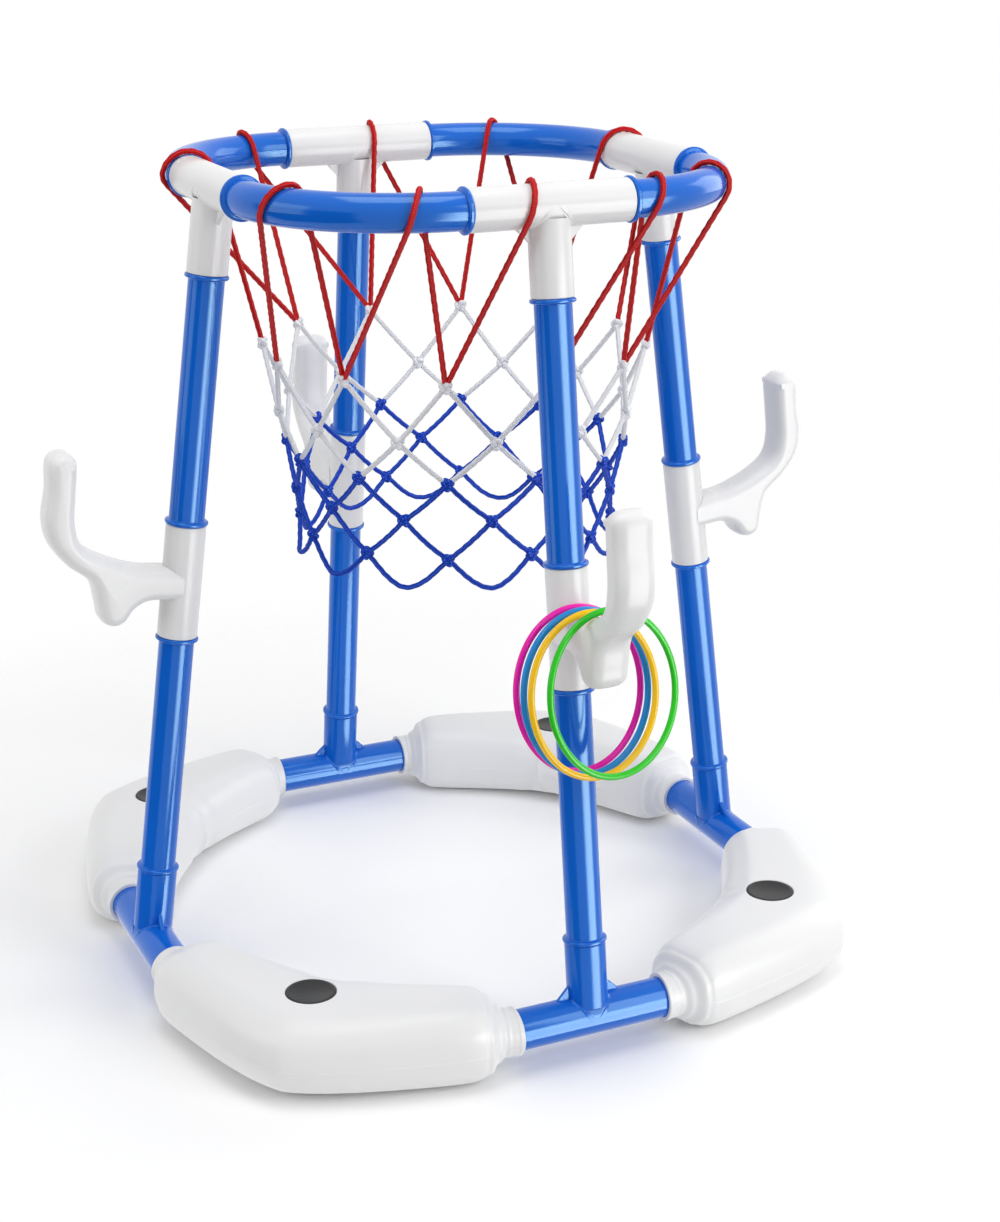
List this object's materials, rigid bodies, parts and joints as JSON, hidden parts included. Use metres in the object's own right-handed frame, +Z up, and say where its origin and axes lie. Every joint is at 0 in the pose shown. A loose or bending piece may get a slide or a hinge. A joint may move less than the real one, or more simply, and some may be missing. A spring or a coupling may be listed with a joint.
{
  "type": "poolside basketball hoop",
  "caption": "Poolside basketball hoop: a tubular rim with a knotted net on leaning legs, standing on water-filled floats, with hooks and toss rings.",
  "frame": {"origin": "on the ground under the middle of the hoop", "axes": "+Z up, -Y towards the leg whose hook carries the toss rings, +X towards the leg on its right as seen from the front"},
  "size_m": [0.7128, 0.7128, 0.7049],
  "materials": {
    "blue_plastic": "glossy",
    "white_plastic": "glossy",
    "float_plastic": "satin",
    "plug_plastic": "satin",
    "net_cord": "braided cord, red above, white in the middle, blue below",
    "ring_magenta": "glossy",
    "ring_blue": "glossy",
    "ring_yellow": "glossy",
    "ring_green": "glossy"
  },
  "bodies": {
    "stand": {"base_tee_front": "blue_plastic", "lower_leg_front": "blue_plastic", "hook_sleeve_front": "white_plastic", "hook_front": "white_plastic", "upper_leg_front": "blue_plastic", "rim_tee_front": "white_plastic", "rim_arc_after_front": "blue_plastic", "base_tee_right": "blue_plastic", "lower_leg_right": "blue_plastic", "hook_sleeve_right": "white_plastic", "hook_right": "white_plastic", "upper_leg_right": "blue_plastic", "rim_tee_right": "white_plastic", "rim_arc_after_right": "blue_plastic", "base_tee_back": "blue_plastic", "lower_leg_back": "blue_plastic", "hook_sleeve_back": "white_plastic", "hook_back": "white_plastic", "upper_leg_back": "blue_plastic", "rim_tee_back": "white_plastic", "rim_arc_after_back": "blue_plastic", "base_tee_left": "blue_plastic", "lower_leg_left": "blue_plastic", "hook_sleeve_left": "white_plastic", "hook_left": "white_plastic", "upper_leg_left": "blue_plastic", "rim_tee_left": "white_plastic", "rim_arc_after_left": "blue_plastic", "float_front_right": "float_plastic", "float_back_right": "float_plastic", "float_back_left": "float_plastic", "float_front_left": "float_plastic", "net_panel_1": "net_cord", "net_panel_2": "net_cord", "net_panel_3": "net_cord", "net_panel_4": "net_cord", "net_panel_5": "net_cord", "net_panel_6": "net_cord", "net_panel_7": "net_cord", "net_panel_8": "net_cord", "net_panel_9": "net_cord", "net_panel_10": "net_cord", "net_panel_11": "net_cord", "net_panel_12": "net_cord"},
    "plug_front_right": {"fill_plug_front_right": "plug_plastic"},
    "plug_back_right": {"fill_plug_back_right": "plug_plastic"},
    "plug_back_left": {"fill_plug_back_left": "plug_plastic"},
    "plug_front_left": {"fill_plug_front_left": "plug_plastic"},
    "ring_magenta": {"toss_ring_magenta": "ring_magenta"},
    "ring_blue": {"toss_ring_blue": "ring_blue"},
    "ring_yellow": {"toss_ring_yellow": "ring_yellow"},
    "ring_green": {"toss_ring_green": "ring_green"}
  },
  "joints": [
    {"name": "plug_pull_front_right", "type": "slide", "parent": "stand", "child": "plug_front_right", "axis": [0, 0, 1], "range_m": [0, 0.04]},
    {"name": "plug_pull_back_right", "type": "slide", "parent": "stand", "child": "plug_back_right", "axis": [0, 0, 1], "range_m": [0, 0.04]},
    {"name": "plug_pull_back_left", "type": "slide", "parent": "stand", "child": "plug_back_left", "axis": [0, 0, 1], "range_m": [0, 0.04]},
    {"name": "plug_pull_front_left", "type": "slide", "parent": "stand", "child": "plug_front_left", "axis": [0, 0, 1], "range_m": [0, 0.04]},
    {"name": "ring_swing_magenta", "type": "hinge", "parent": "stand", "child": "ring_magenta", "pos_m": [0, -0.2687, 0.3489], "axis": [0.2593, -0.935, 0.2419], "range_deg": [-8, 8]},
    {"name": "ring_swing_blue", "type": "hinge", "parent": "stand", "child": "ring_blue", "pos_m": [0, -0.2778, 0.3488], "axis": [0.2593, -0.935, 0.2419], "range_deg": [-8, 8]},
    {"name": "ring_swing_yellow", "type": "hinge", "parent": "stand", "child": "ring_yellow", "pos_m": [0, -0.2869, 0.3491], "axis": [0.2593, -0.935, 0.2419], "range_deg": [-8, 8]},
    {"name": "ring_swing_green", "type": "hinge", "parent": "stand", "child": "ring_green", "pos_m": [0, -0.3093, 0.3569], "axis": [0.2593, -0.935, 0.2419], "range_deg": [-8, 8]}
  ]
}
